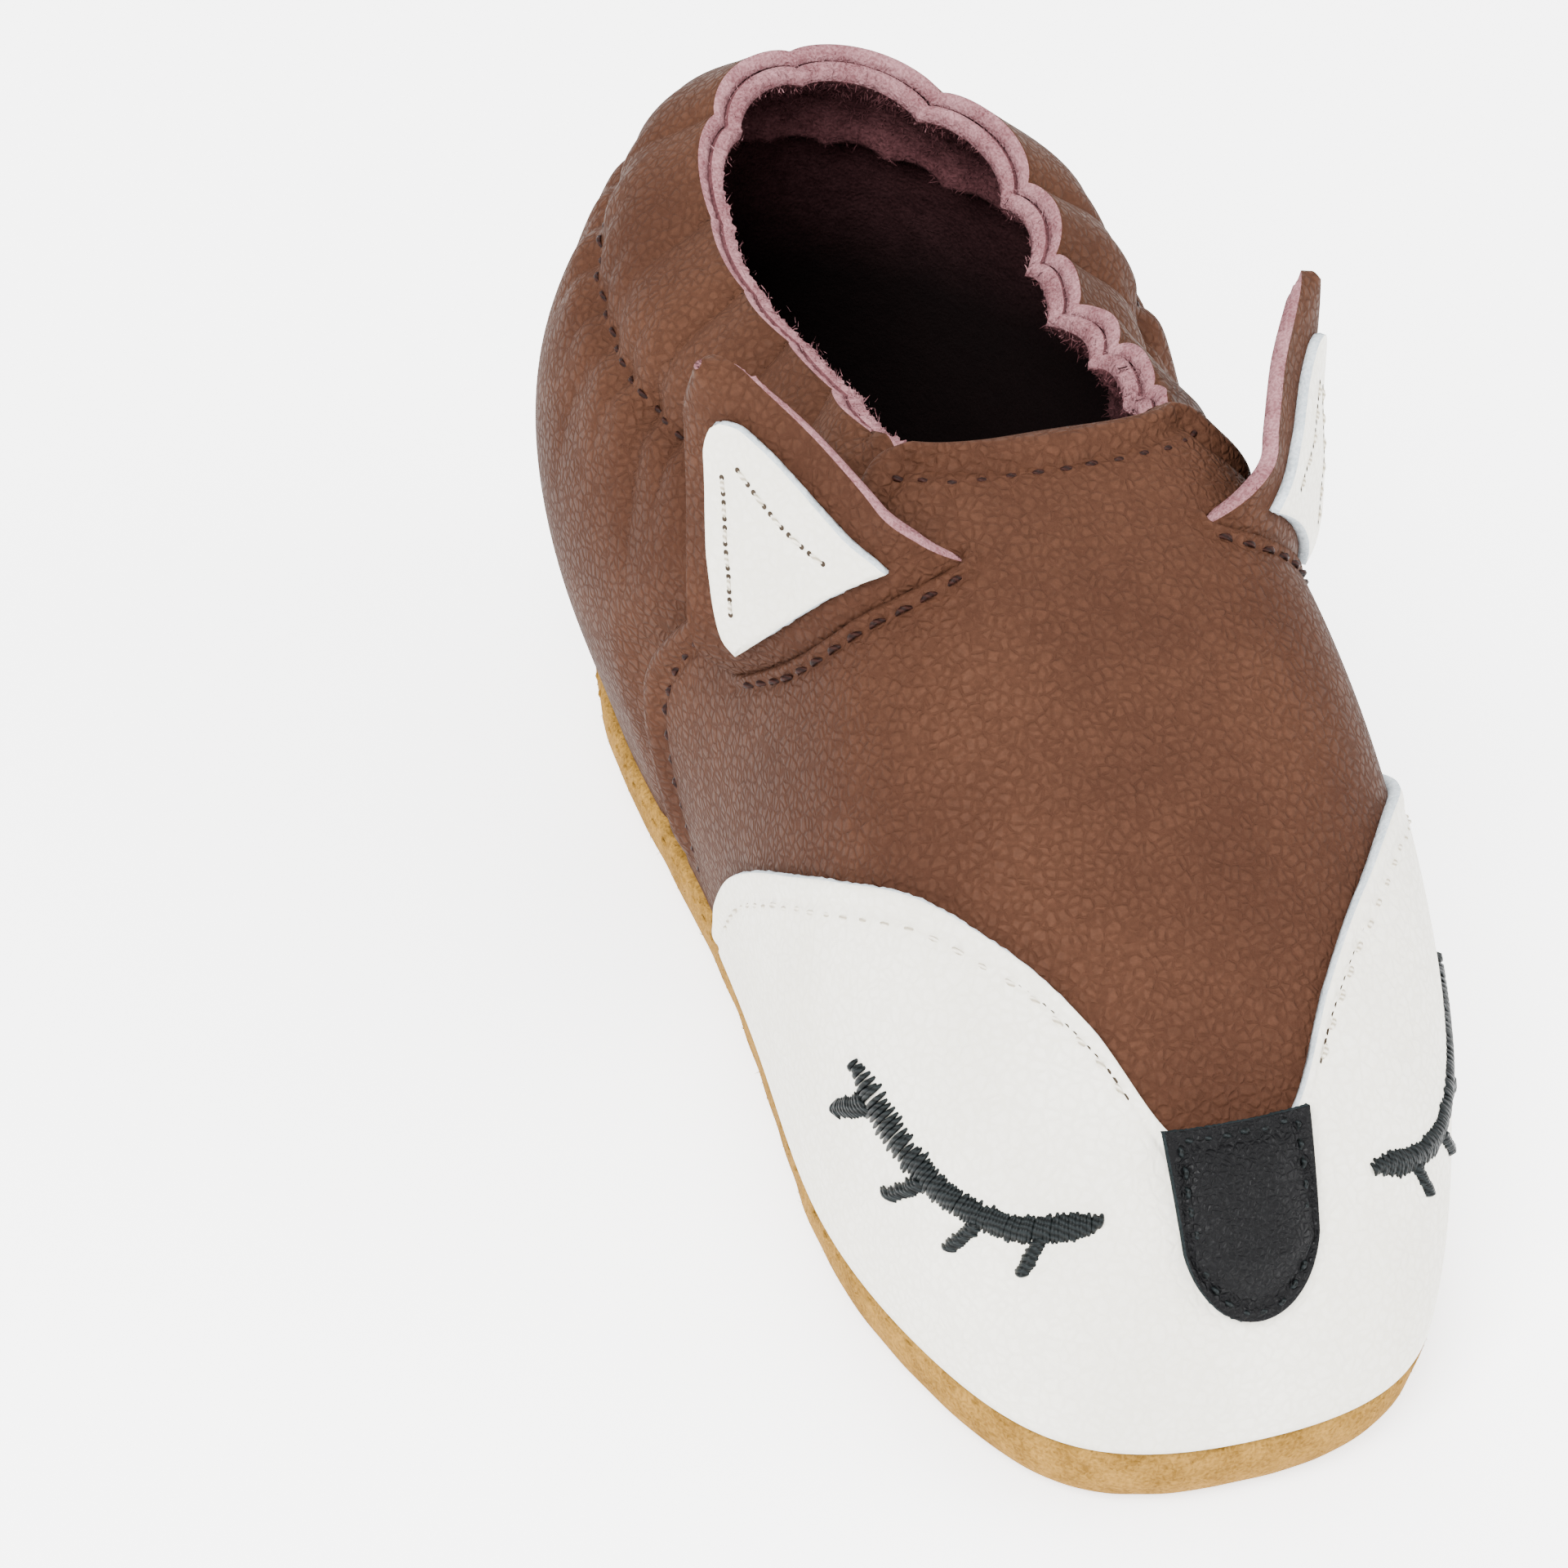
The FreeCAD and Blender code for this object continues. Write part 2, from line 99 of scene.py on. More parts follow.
# The camera: angles in degrees, lengths in millimetres.
CAMERA_AZIMUTH = -22.73
CAMERA_ELEVATION = 37.46
CAMERA_ROLL = 4.71
CAMERA_DISTANCE = 470.33
CAMERA_AIM = (-11.75, 15.68, 12.97)
SENSOR_WIDTH = 36.0
PICTURE_WIDTH = 1920
PICTURE_SCALE = 14.82


# ---------------------------------------------------------------- the skin of the upper
def both_sides(half):
    """Stations right round the foot from the +X half, with x mirrored."""
    half = np.array(half, float)
    mirrored = half[-2:0:-1].copy()
    mirrored[:, 0] *= -1
    return np.vstack([half, mirrored])


class ClosedCurve:
    """Smooth closed curve through evenly numbered points, read at 0 to 1."""

    def __init__(self, points):
        points = np.asarray(points, float)
        n = len(points)
        pull = np.eye(n) * 4 + np.roll(np.eye(n), 1, 0) + np.roll(np.eye(n), -1, 0)
        self.controls = np.linalg.solve(pull / 6, points)
        self.n = n

    def __call__(self, t):
        place = (np.asarray(t, float) % 1.0) * self.n
        i = np.floor(place).astype(int)
        f = (place - i)[..., None]
        weights = [(1 - f) ** 3, 3 * f ** 3 - 6 * f ** 2 + 4, -3 * f ** 3 + 3 * f ** 2 + 3 * f + 1, f ** 3]
        return sum(w * self.controls[(i + k) % self.n] for w, k in zip(weights, (-1, 0, 1, 2))) / 6


def outward(curve, t):
    """Level direction out of a curve that runs round the foot."""
    along = curve(np.asarray(t) + 1e-4) - curve(np.asarray(t) - 1e-4)
    out = np.stack([along[..., 1], -along[..., 0], np.zeros_like(along[..., 0])], -1)
    return unit(out)


def unit(v):
    return v / np.maximum(np.linalg.norm(v, axis=-1, keepdims=True), 1e-12)


def skin_rows():
    """The four control curves of the skin, from the sole seam to the opening."""
    line = both_sides(SEAM_LINE)
    seam = ClosedCurve(np.column_stack([line, np.full(len(line), SEAM_HEIGHT)]))
    opening = both_sides(OPENING)
    swell = np.array(LOW_SWELL + LOW_SWELL[-2:0:-1], float)
    stations = np.arange(len(swell)) / len(swell)
    low = seam(stations) + outward(seam, stations) * swell[:, :1]
    low[:, 2] += swell[:, 1]
    return [seam, ClosedCurve(low), ClosedCurve(opening + both_sides(SHOULDER)), ClosedCurve(opening)]


ROWS = skin_rows()


def lean(points):
    """Leans the toe end towards the big toe."""
    points = points.copy()
    share = np.clip((-10.0 - points[..., 1]) / 50.0, 0.0, 1.0)
    points[..., 0] -= TOE_LEAN * share * share
    return points


def plain_skin(around, up):
    a, b, c, d = [row(around) for row in ROWS]
    u = np.asarray(up, float)[..., None]
    return lean(a * (1 - u) ** 3 + 3 * b * u * (1 - u) ** 2 + 3 * c * u * u * (1 - u) + d * u ** 3)


def skin(around, up):
    """Points of the skin and its outward directions there."""
    around, up = np.broadcast_arrays(np.asarray(around, float), np.asarray(up, float))
    step = 1e-3
    round_way = plain_skin(around + step, up) - plain_skin(around - step, up)
    upper = np.minimum(up + step, np.maximum(up, 1.0))
    up_way = plain_skin(around, upper) - plain_skin(around, np.maximum(up - step, 0))
    return plain_skin(around, up), unit(np.cross(round_way, up_way))


def between(table, x):
    """Smooth curve through a short table of (x, y), read at x."""
    xs, ys = np.array(table, float).T
    x = np.asarray(x, float)
    i = np.clip(np.searchsorted(xs, x, side="right") - 1, 0, len(xs) - 2)
    last = len(xs) - 1
    after = np.minimum(np.arange(len(xs)) + 1, last)
    before = np.maximum(np.arange(len(xs)) - 1, 0)
    slopes = (ys[after] - ys[before]) / (xs[after] - xs[before])
    span = xs[i + 1] - xs[i]
    t = np.clip((x - xs[i]) / span, 0.0, 1.0)
    rise = ys[i] * (1 + 2 * t) * (1 - t) ** 2 + ys[i + 1] * t * t * (3 - 2 * t)
    return rise + (slopes[i] * t * (1 - t) ** 2 - slopes[i + 1] * t * t * (1 - t)) * span


def smooth(low, high, x):
    """0 below low, 1 above high, eased between."""
    t = np.clip((x - low) / (high - low), 0, 1)
    return t * t * (3 - 2 * t)


def ripple(x, y, seed, count=7, spread=1.0):
    """Gentle uneven waves, about -1 to 1, from a few crossing sines."""
    picks = np.random.default_rng(seed)
    total = 0.0
    for _ in range(count):
        turn = picks.uniform(0, math.tau)
        pace = picks.uniform(0.5, 1.5) * spread
        along = x * math.cos(turn) + y * math.sin(turn)
        total = total + np.sin(pace * along + picks.uniform(0, math.tau))
    return total / math.sqrt(count) / 1.5


# ---------------------------------------------------------------- meshes
def build(name, points, faces, body, materials, face_slots=None, replaces=(), smooth_faces=True):
    """Mesh object in metres from points in millimetres, riding on a CAD body."""
    mesh = bpy.data.meshes.new(name)
    mesh.from_pydata((np.asarray(points) * MM).tolist(), [], [list(map(int, f)) for f in faces])
    for material in materials:
        mesh.materials.append(material)
    if face_slots is not None:
        mesh.polygons.foreach_set("material_index", np.asarray(face_slots, np.int32))
    if smooth_faces:
        mesh.shade_smooth()
    mesh.update()
    piece = bpy.data.objects.new(name, mesh)
    bpy.context.scene.collection.objects.link(piece)
    if body:
        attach(piece, body)
    if replaces:
        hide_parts(*replaces)
    return piece


def quads(rows, columns, start=0, flip=False):
    """Faces of a grid of points, rows by columns."""
    i, j = np.meshgrid(np.arange(rows - 1), np.arange(columns - 1), indexing="ij")
    a = start + (i * columns + j).ravel()
    ring = np.column_stack([a, a + columns, a + columns + 1, a + 1])
    return ring[:, ::-1] if flip else ring


def border(rows, columns):
    """Indices round the edge of a grid, once round."""
    low = [i * columns for i in range(rows)]
    right = [(rows - 1) * columns + j for j in range(1, columns)]
    high = [i * columns + columns - 1 for i in range(rows - 2, -1, -1)]
    left = [j for j in range(columns - 2, 0, -1)]
    return np.array(low + right + high + left)


def slab(outer, inner, round_out=0.25, rough_edge=0.0):
    """Points, faces and slots of a closed sheet between two grids: face 0, edge 1, back 2."""
    rows, columns = outer.shape[:2]
    count = rows * columns
    flat_out, flat_in = outer.reshape(-1, 3), inner.reshape(-1, 3)
    rim = border(rows, columns)
    inward = np.clip(rim // columns, 1, rows - 2) * columns + np.clip(rim % columns, 1, columns - 2)
    away = unit(flat_out[rim] - flat_out[inward])
    thick = np.linalg.norm(flat_out[rim] - flat_in[rim], axis=1)[:, None]
    middle = (flat_out[rim] + flat_in[rim]) / 2 + away * thick * round_out
    if rough_edge:
        middle = middle + rng.normal(0, rough_edge, middle.shape)
    n = len(rim)
    k = np.arange(n)
    after = (k + 1) % n
    mid = 2 * count + k
    mid_after = 2 * count + after
    upper = np.column_stack([rim[k], mid, mid_after, rim[after]])
    lower = np.column_stack([mid, rim[k] + count, rim[after] + count, mid_after])
    faces = np.vstack([quads(rows, columns), quads(rows, columns, count, True), upper, lower])
    one = (rows - 1) * (columns - 1)
    slots = np.concatenate([np.zeros(one), np.full(one, 2), np.ones(2 * n)])
    return np.vstack([flat_out, flat_in, middle]), faces, slots


def sheet_grids(place, outer, inner, across, along, relief=None):
    """Outer and inner grids of a sheet on the skin. across and along are shares from 0 to 1."""
    s, t = np.meshgrid(across, along, indexing="ij")
    around, up, sink = place(s, t)
    points, normals = skin(around, up)
    lift = -sink if relief is None else relief(around, up, points) - sink
    return points + normals * (outer + lift)[..., None], points + normals * (inner + lift)[..., None]


def spaced(count, crowd=0.0):
    """Shares from 0 to 1, closer together near the ends if crowd is above 0."""
    t = np.linspace(0, 1, count)
    return t - crowd * np.sin(math.tau * t) / math.tau


def tubes(starts, ends, ups, radius, arch, rings=5, sides=6):
    """Short bowed threads: points and faces of many at once."""
    starts, ends, ups = [np.asarray(v, float) for v in (starts, ends, ups)]
    way = unit(ends - starts)
    side = unit(np.cross(way, ups))
    points = []
    t = np.linspace(0, 1, rings)
    for k in range(rings):
        centre = starts + (ends - starts) * t[k] + ups * (arch * (1 - (2 * t[k] - 1) ** 2))
        width = radius * (0.55 + 0.45 * math.sin(math.pi * t[k]))
        for q in range(sides):
            turn = math.tau * q / sides
            points.append(centre + side * (math.cos(turn) * width) + unit(ups) * (math.sin(turn) * width))
    points = np.stack(points, 1)
    per = rings * sides
    faces = []
    for k in range(rings - 1):
        for q in range(sides):
            a = k * sides + q
            b = k * sides + (q + 1) % sides
            faces.append((a, b, b + sides, a + sides))
    faces = np.array(faces)
    every = (faces[None] + np.arange(len(starts))[:, None, None] * per).reshape(-1, 4)
    return points.reshape(-1, 3), every


def path_points(path, first, last, height, count=400):
    t = np.linspace(first, last, count)
    around, up = path(t)
    points, normals = skin(around, up)
    return points + normals * height, normals


def stitch_ends(points, normals, pitch, share=0.64):
    """Start, end and up direction of each stitch along a line of points."""
    steps = np.linalg.norm(np.diff(points, axis=0), axis=1)
    run = np.concatenate([[0], np.cumsum(steps)])
    count = max(int(run[-1] / pitch), 1)
    at = (np.arange(count) + (1 - share) / 2) * run[-1] / count
    to = at + share * run[-1] / count

    def pick(values, where):
        return np.stack([np.interp(where, run, values[:, k]) for k in range(3)], 1)

    return pick(points, at), pick(points, to), unit(pick(normals, (at + to) / 2))


def stitch_row(name, points, normals, body, thread, replaces, radius=0.28, pitch=STITCH_PITCH, arch=0.16,
               share=0.64, hole=None):
    """A row of thread that dips into the leather at both ends of every stitch, with its needle holes."""
    starts, ends, ups = stitch_ends(points, normals, pitch, share)
    jitter = rng.normal(0, 0.05, starts.shape)
    sunk = jitter - ups * radius
    verts, faces = tubes(starts + sunk, ends + sunk, ups, radius, arch + radius)
    piece = build(name, verts, faces, body, [thread], None, replaces)
    if hole is not None:
        needle_holes(name + "_holes", np.vstack([starts, ends]), np.vstack([ups, ups]), body, hole)
    return piece


def needle_holes(name, centres, ups, body, material, radius=0.34):
    """Small dark discs where a needle went through; their dark colour is painted shade for the holes."""
    sides = 10
    side = unit(np.cross(ups, np.array([0.3, 0.5, 0.8])))
    other = np.cross(ups, side)
    points = [centres + ups * 0.035]
    for q in range(sides):
        turn = math.tau * q / sides
        points.append(centres + ups * 0.02 + (side * math.cos(turn) + other * math.sin(turn)) * radius)
    points = np.stack(points, 1).reshape(-1, 3)
    ring = np.array([(0, 1 + q, 1 + (q + 1) % sides) for q in range(sides)])
    faces = (ring[None] + np.arange(len(centres))[:, None, None] * (sides + 1)).reshape(-1, 3)
    return build(name, points, faces, body, [material])


def nap(name, points, normals, body, material, length, width=0.035, lie=0.9):
    """Short fibres that stand off a suede surface."""
    ways = unit(normals + rng.normal(0, lie, normals.shape))
    reach = length * rng.uniform(0.45, 1.0, (len(points), 1))
    side = unit(np.cross(ways, rng.normal(0, 1, ways.shape))) * width
    bend = rng.normal(0, 0.25, normals.shape) * reach
    corners = np.stack([points - side, points + side, points + ways * reach * 0.6 + side * 0.6 + bend * 0.4,
                        points + ways * reach + bend], 1)
    k = np.arange(len(points))[:, None] * 4
    faces = np.concatenate([k + 0, k + 1, k + 2, k + 3], 1)
    return build(name, corners.reshape(-1, 3), faces, body, [material])


# ---------------------------------------------------------------- materials
def linear(red, green, blue):
    """Shader colour from ordinary 0 to 255 screen values."""
    parts = []
    for value in (red, green, blue):
        c = value / 255
        parts.append(c / 12.92 if c <= 0.04045 else ((c + 0.055) / 1.055) ** 2.4)
    return (*parts, 1.0)


class Graph:
    """A new material and a short way to write its nodes."""

    def __init__(self, name):
        self.material = bpy.data.materials.new(name)
        self.material.use_nodes = True
        self.tree = self.material.node_tree
        self.shader = self.tree.nodes["Principled BSDF"]

    def put(self, socket, value):
        if isinstance(value, bpy.types.NodeSocket):
            self.tree.links.new(value, socket)
        else:
            socket.default_value = value

    def node(self, kind, inputs=(), **settings):
        node = self.tree.nodes.new(kind)
        for key, value in settings.items():
            setattr(node, key, value)
        for key, value in dict(inputs).items():
            self.put(node.inputs[key], value)
        return node

    def finish(self, **inputs):
        """Sets the shader's inputs, with _ for a space in their names."""
        for key, value in inputs.items():
            self.put(self.shader.inputs[key.replace("_", " ")], value)
        return self.material

    def place(self):
        return self.node("ShaderNodeTexCoord").outputs["Object"]

    def noise(self, size_mm, detail=3.0, where=None):
        """Noise with blotches of about this size."""
        return self.node("ShaderNodeTexNoise", {"Vector": where or self.place(), "Scale": 1000.0 / size_mm,
                                                "Detail": detail}).outputs["Fac"]

    def wobbled(self, size_mm, reach_mm):
        """The place, pushed about a little so that nothing repeats evenly."""
        colour = self.node("ShaderNodeTexNoise", {"Vector": self.place(), "Scale": 1000.0 / size_mm,
                                                  "Detail": 2.0}).outputs["Color"]
        centred = self.node("ShaderNodeVectorMath", {0: colour, 1: (0.5, 0.5, 0.5)}, operation="SUBTRACT")
        small = self.node("ShaderNodeVectorMath", {0: centred.outputs[0], "Scale": 2 * reach_mm * MM},
                          operation="SCALE")
        return self.node("ShaderNodeVectorMath", {0: self.place(), 1: small.outputs[0]}).outputs[0]

    def cells(self, size_mm, where):
        """Distance from the creases between pebbles of about this size."""
        return self.node("ShaderNodeTexVoronoi", {"Vector": where, "Scale": 1000.0 / size_mm},
                         feature="DISTANCE_TO_EDGE").outputs["Distance"]

    def spread(self, value, low, high, to_low=0.0, to_high=1.0):
        return self.node("ShaderNodeMapRange", {"Value": value, "From Min": low, "From Max": high,
                                                "To Min": to_low, "To Max": to_high},
                         interpolation_type="SMOOTHSTEP").outputs["Result"]

    def maths(self, operation, a, b):
        return self.node("ShaderNodeMath", {0: a, 1: b}, operation=operation).outputs[0]

    def mix(self, share, first, second):
        node = self.node("ShaderNodeMix", data_type="RGBA")
        self.put(node.inputs["Factor"], share)
        self.put(node.inputs[6], first)
        self.put(node.inputs[7], second)
        return node.outputs[2]

    def bump(self, height, depth_mm, strength=1.0, onto=None):
        inputs = {"Height": height, "Distance": depth_mm * MM, "Strength": strength}
        if onto is not None:
            inputs["Normal"] = onto
        return self.node("ShaderNodeBump", inputs).outputs["Normal"]


def grained_leather(name, colour, crease, bright, pebble, depth, roughness, wrinkle, shine):
    """Pebbled leather: rounded cells with darker creases, broken up by longer wrinkles."""
    g = Graph(name)
    where = g.wobbled(pebble * 2.2, pebble * 0.5)
    fine = g.spread(g.cells(pebble, where), 0.0, 0.26)
    broad = g.spread(g.cells(pebble * 2.7, g.wobbled(5.0, 1.4)), 0.0, 0.16)
    pebbles = g.maths("ADD", g.maths("MULTIPLY", fine, 0.75), g.maths("MULTIPLY", broad, 0.25))
    blotch = g.spread(g.noise(14.0, 4.0), 0.3, 0.7)
    surface = g.mix(g.spread(g.noise(0.45, 2.0), 0.25, 0.85), colour, bright)
    shade = g.mix(g.maths("MULTIPLY", blotch, 0.45), surface, crease)
    shade = g.mix(g.spread(pebbles, 0.1, 0.8, 0.34, 0.0), shade, crease)
    normal = g.bump(pebbles, depth)
    normal = g.bump(g.noise(0.22, 3.0), depth * 0.35, onto=normal)
    if wrinkle:
        normal = g.bump(g.noise(6.0, 3.0, g.wobbled(12.0, 4.0)), wrinkle, onto=normal)
    rough = g.spread(pebbles, 0.2, 0.9, min(roughness + 0.16, 1.0), roughness)
    return g.finish(Base_Color=shade, Roughness=rough, Normal=normal, Specular_IOR_Level=shine)


def suede(name, dark, light, grain, depth, sheen, painted_depth_shade=False):
    """Napped leather: blotches, fine fibres and a soft sheen. Its last argument paints shade into the
    colour, near black lower down inside the shoe.
    """
    g = Graph(name)
    fibres = g.noise(grain, 5.0, g.wobbled(grain * 3, grain))
    blotches = g.spread(g.noise(grain * 9, 4.0), 0.32, 0.68)
    share = g.maths("ADD", g.maths("MULTIPLY", g.spread(fibres, 0.3, 0.7), 0.6),
                    g.maths("MULTIPLY", blotches, 0.4))
    normal = g.bump(fibres, depth)
    normal = g.bump(g.noise(grain * 4, 4.0), depth * 2.0, onto=normal)
    colour = g.mix(share, dark, light)
    if painted_depth_shade:
        # Painted shade: the colour fades to near black lower down, standing in for the dark inside of the
        # shoe.
        height = g.node("ShaderNodeSeparateXYZ", {"Vector": g.place()}).outputs["Z"]
        colour = g.mix(g.spread(height, 0.030, 0.057, 0.985, 0.0), colour, linear(6, 4, 4))
    return g.finish(Base_Color=colour, Roughness=0.96, Normal=normal, Specular_IOR_Level=0.04,
                    Sheen_Weight=sheen * 0.25, Sheen_Roughness=0.5, Sheen_Tint=light)


def spun(name, dark, light, roughness=0.55):
    """Twisted thread: fine slanted bands along the strand."""
    g = Graph(name)
    bands = g.node("ShaderNodeTexWave", {"Vector": g.place(), "Scale": 900.0, "Distortion": 3.0},
                   bands_direction="DIAGONAL")
    normal = g.bump(bands.outputs["Fac"], 0.05)
    return g.finish(Base_Color=g.mix(bands.outputs["Fac"], dark, light), Roughness=roughness, Normal=normal,
                    Specular_IOR_Level=0.08)


BROWN = grained_leather("brown_leather", linear(58, 36, 25), linear(40, 22, 15), linear(68, 43, 31),
                        0.85, 0.12, 0.60, 0.35, 0.04)
WHITE = grained_leather("white_leather", linear(222, 218, 206), linear(200, 195, 182), linear(228, 225, 214),
                        1.0, 0.05, 0.42, 0.12, 0.25)
BLACK = grained_leather("black_leather", linear(12, 12, 13), linear(5, 5, 6), linear(16, 16, 17),
                        0.55, 0.12, 0.36, 0.12, 0.07)
# The mauve suede has painted shade, darker lower down inside the shoe.
MAUVE = suede("mauve_suede", linear(58, 32, 35), linear(92, 58, 61), 0.30, 0.16, 0.25, painted_depth_shade=True)
RAW_MAUVE = suede("mauve_cut_edge", linear(92, 56, 60), linear(142, 104, 108), 0.22, 0.14, 0.25)
RAW_WHITE = suede("white_cut_edge", linear(150, 160, 166), linear(196, 202, 206), 0.25, 0.08, 0.1)
RAW_BLACK = suede("black_cut_edge", linear(14, 18, 19), linear(30, 36, 38), 0.25, 0.08, 0.1)
SOLE = suede("suede_sole", linear(98, 70, 26), linear(146, 110, 50), 0.32, 0.22, 0.15)
INSOLE = suede("insole_fabric", linear(16, 12, 11), linear(26, 21, 19), 0.35, 0.05, 0.05)
FOAM = suede("foam", linear(196, 188, 170), linear(216, 208, 190), 0.5, 0.08, 0.0)
ELASTIC = spun("elastic", linear(200, 196, 190), linear(232, 229, 224))
DARK_THREAD = spun("dark_thread", linear(20, 8, 6), linear(36, 16, 12))
BLACK_THREAD = spun("black_thread", linear(6, 8, 8), linear(22, 26, 27), 0.42)
CREAM_THREAD = spun("cream_thread", linear(150, 141, 122), linear(222, 216, 202))
# Painted shade for needle holes: a dark colour on small discs, not real holes.
NEEDLE_HOLE_SHADE = suede("needle_hole", linear(40, 33, 27), linear(58, 50, 42), 0.3, 0.02, 0.0)


# ---------------------------------------------------------------- the upper's relief
def run_along(points, axis):
    """Length along a grid of points from its first row or column."""
    steps = np.linalg.norm(np.diff(points, axis=axis), axis=-1)
    run = np.cumsum(steps, axis=axis)
    return np.insert(run, 0, 0.0, axis=axis)


def bell(x, middle, width):
    return np.exp(-((x - middle) / width) ** 2)


def slit_line(side):
    t = np.linspace(0, 1, 70)
    around = EAR_SLIT[0][0] + (EAR_SLIT[-1][0] - EAR_SLIT[0][0]) * t
    return skin(around * side, between(EAR_SLIT, around))[0]


def soft_waves(points):
    """Slow unevenness of the whole front of the upper."""
    x, y, z = points[..., 0], points[..., 1], points[..., 2]
    return 0.22 * ripple(x + z * 0.6, y - z * 0.5, 3, 8, 0.16)


def vamp_relief(around, up, points):
    """Folded hem along the free edge, and a groove and lip where each ear comes out."""
    from_left = run_along(points, 0)
    from_right = from_left[-1:] - from_left
    from_foot = run_along(points, 1)
    from_top = from_foot[:, -1:] - from_foot
    edge = np.minimum(np.minimum(from_left, from_right), from_top)
    low = smooth(0.02, 0.12, up)
    lift = low * (0.85 * bell(edge, 1.6, 1.4) - 0.42 * bell(edge, 3.4, 0.55) - 0.6 * bell(edge, 0.0, 0.6))
    for side in (-1, 1):
        line = slit_line(side)
        gaps = np.linalg.norm(points[..., None, :] - line, axis=-1)
        nearest = gaps.min(-1)
        below = points[..., 1] < line[gaps.argmin(-1)][..., 1]
        lift = lift - 0.7 * bell(nearest, 0.0, 0.5) + np.where(below, 0.40, 0.1) * bell(nearest, 1.0, 0.6)
        lift = lift - np.where(below, 0.28, 0.0) * bell(nearest, 1.7, 0.4)
    return lift + soft_waves(points)


SCALLOPS = 16
PLEATS = 43


def wandering(around, seed):
    """Distance round the collar, hurried and slowed so that the folds differ."""
    picks = np.random.default_rng(seed)
    shifted = around
    for turns in (2, 3, 5, 9):
        reach = picks.uniform(0.3, 1.0) * 0.022 / turns
        shifted = shifted + reach * np.sin(math.tau * (turns * around + picks.uniform()))
    return shifted


def gathers(around, up):
    """How far the collar stands out: scallops at the rim, pinched pleats below the elastic."""
    scallop = np.abs(np.sin(math.pi * SCALLOPS * wandering(around, 4))) ** 0.6
    pleat = np.abs(np.sin(math.pi * PLEATS * wandering(around, 5))) ** 0.8
    strength = 0.75 + 0.35 * np.sin(math.tau * (3 * around + 0.2)) * np.sin(math.tau * (5 * around + 0.6))
    rim = (1.6 * scallop - 0.95) * smooth(0.80, 1.0, up)
    down = (scallop - 0.75) * 1.3 * bell(up, 0.72, 0.16)
    pinched = (pleat - 0.6) * 1.05 * bell(up, 0.79, 0.08)
    return strength * (rim + down + pinched)


def heel_relief(around, up, points):
    distance = np.minimum(around, 1 - around) - between(VAMP_EDGE, up)
    free = smooth(0.0, 0.045, distance)
    channel = 0.75 * bell(up, 0.895, 0.055) - 1.1 * bell(up, 0.80, 0.028)
    waves = 0.6 * ripple(around * 300, up * 60, 8, 9, 0.16) * smooth(0.05, 0.4, up)
    return free * (gathers(around, up) + channel + waves)


# ---------------------------------------------------------------- the brown upper
def vamp_place(s, t):
    up = 0.004 + 0.996 * t
    return (2 * s - 1) * between(VAMP_EDGE, up), up, np.zeros_like(up)


def heel_place(s, t):
    up = 0.004 + 0.996 * t
    edge = between(VAMP_EDGE, up)
    start = edge - UNDERLAP
    around = start + (1 - 2 * start) * s
    tucked = smooth(0.0, TUCK, edge + TUCK - np.minimum(around, 1 - around))
    return around, up * (1 - 0.045 * tucked * t), (LEATHER + 0.5) * tucked


def tongue_frame():
    """A point of the line that the throat lifts about, and the way up the tongue from it."""
    up = np.linspace(0.3, 1, 800)
    middle = skin(np.zeros_like(up), up)[0]
    hinge = middle[np.abs(middle[:, 1] - TONGUE_FRONT).argmin()]
    tilt = math.radians(TONGUE_TILT)
    return np.array([0.0, hinge[1], hinge[2]]), np.array([0.0, math.sin(tilt), math.cos(tilt)])


def bend_throat(piece):
    """Bakes a piece of the front's placement into its mesh; the throat's hinge is found but not used."""
    point, way = tongue_frame()
    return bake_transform(piece)


outer, inner = sheet_grids(vamp_place, 0.0, -LEATHER, spaced(260, 0.35), spaced(170, 0.2), vamp_relief)
points, faces, slots = slab(outer, inner, 0.45, 0.02)
vamp = build("vamp", points, faces, None, [BROWN, BROWN, MAUVE], slots, ("vamp_lower", "vamp_tongue"))
bend_throat(vamp)

outer, inner = sheet_grids(heel_place, 0.0, -LEATHER, spaced(620),
                           np.linspace(0, 1, 110) ** 0.85, heel_relief)
points, faces, slots = slab(outer, inner, 0.15, 0.07)
heel = build("heel_panel_leather", points, faces, "shoe", [BROWN, RAW_MAUVE, MAUVE], slots, ("heel_panel",))


def collar_band(low, high):
    def place(s, t):
        return heel_place(0.03 + 0.94 * s, low + (high - low) * t)
    return place


outer, inner = sheet_grids(collar_band(FACING_LOW, FACING_TOP), -LEATHER - 0.12, -LEATHER - 1.75,
                           spaced(560), spaced(26), heel_relief)
points, faces, slots = slab(outer, inner, 0.35, 0.10)
facing = build("collar_facing_suede", points, faces, "shoe", [MAUVE, RAW_MAUVE, MAUVE], slots,
               ("collar_facing",))
rim_rows = (outer[:, -4:] + inner[:, -4:]) / 2
facing_inside = inner

outer, inner = sheet_grids(collar_band(ELASTIC_LOW, ELASTIC_TOP), -LEATHER - 0.02, -LEATHER - 0.10,
                           spaced(300), spaced(8), heel_relief)
points, faces, slots = slab(outer, inner)
elastic = build("collar_elastic_band", points, faces, "shoe", [ELASTIC], None, ("collar_elastic",))


# ---------------------------------------------------------------- the white mask and the nose
def mask_place(s, t):
    around = (2 * s - 1) * MASK_END
    return around, 0.006 + (between(MASK_EDGE, np.abs(around)) - 0.006) * t, np.zeros_like(around)


def mask_relief(around, up, points):
    """A shallow groove under the topstitching and an edge that lifts a little."""
    from_foot = run_along(points, 1)
    edge = from_foot[:, -1:] - from_foot
    return soft_waves(points) + 0.14 * bell(edge, 0.6, 0.7) - 0.16 * bell(edge, 1.9, 0.45) + 0.05


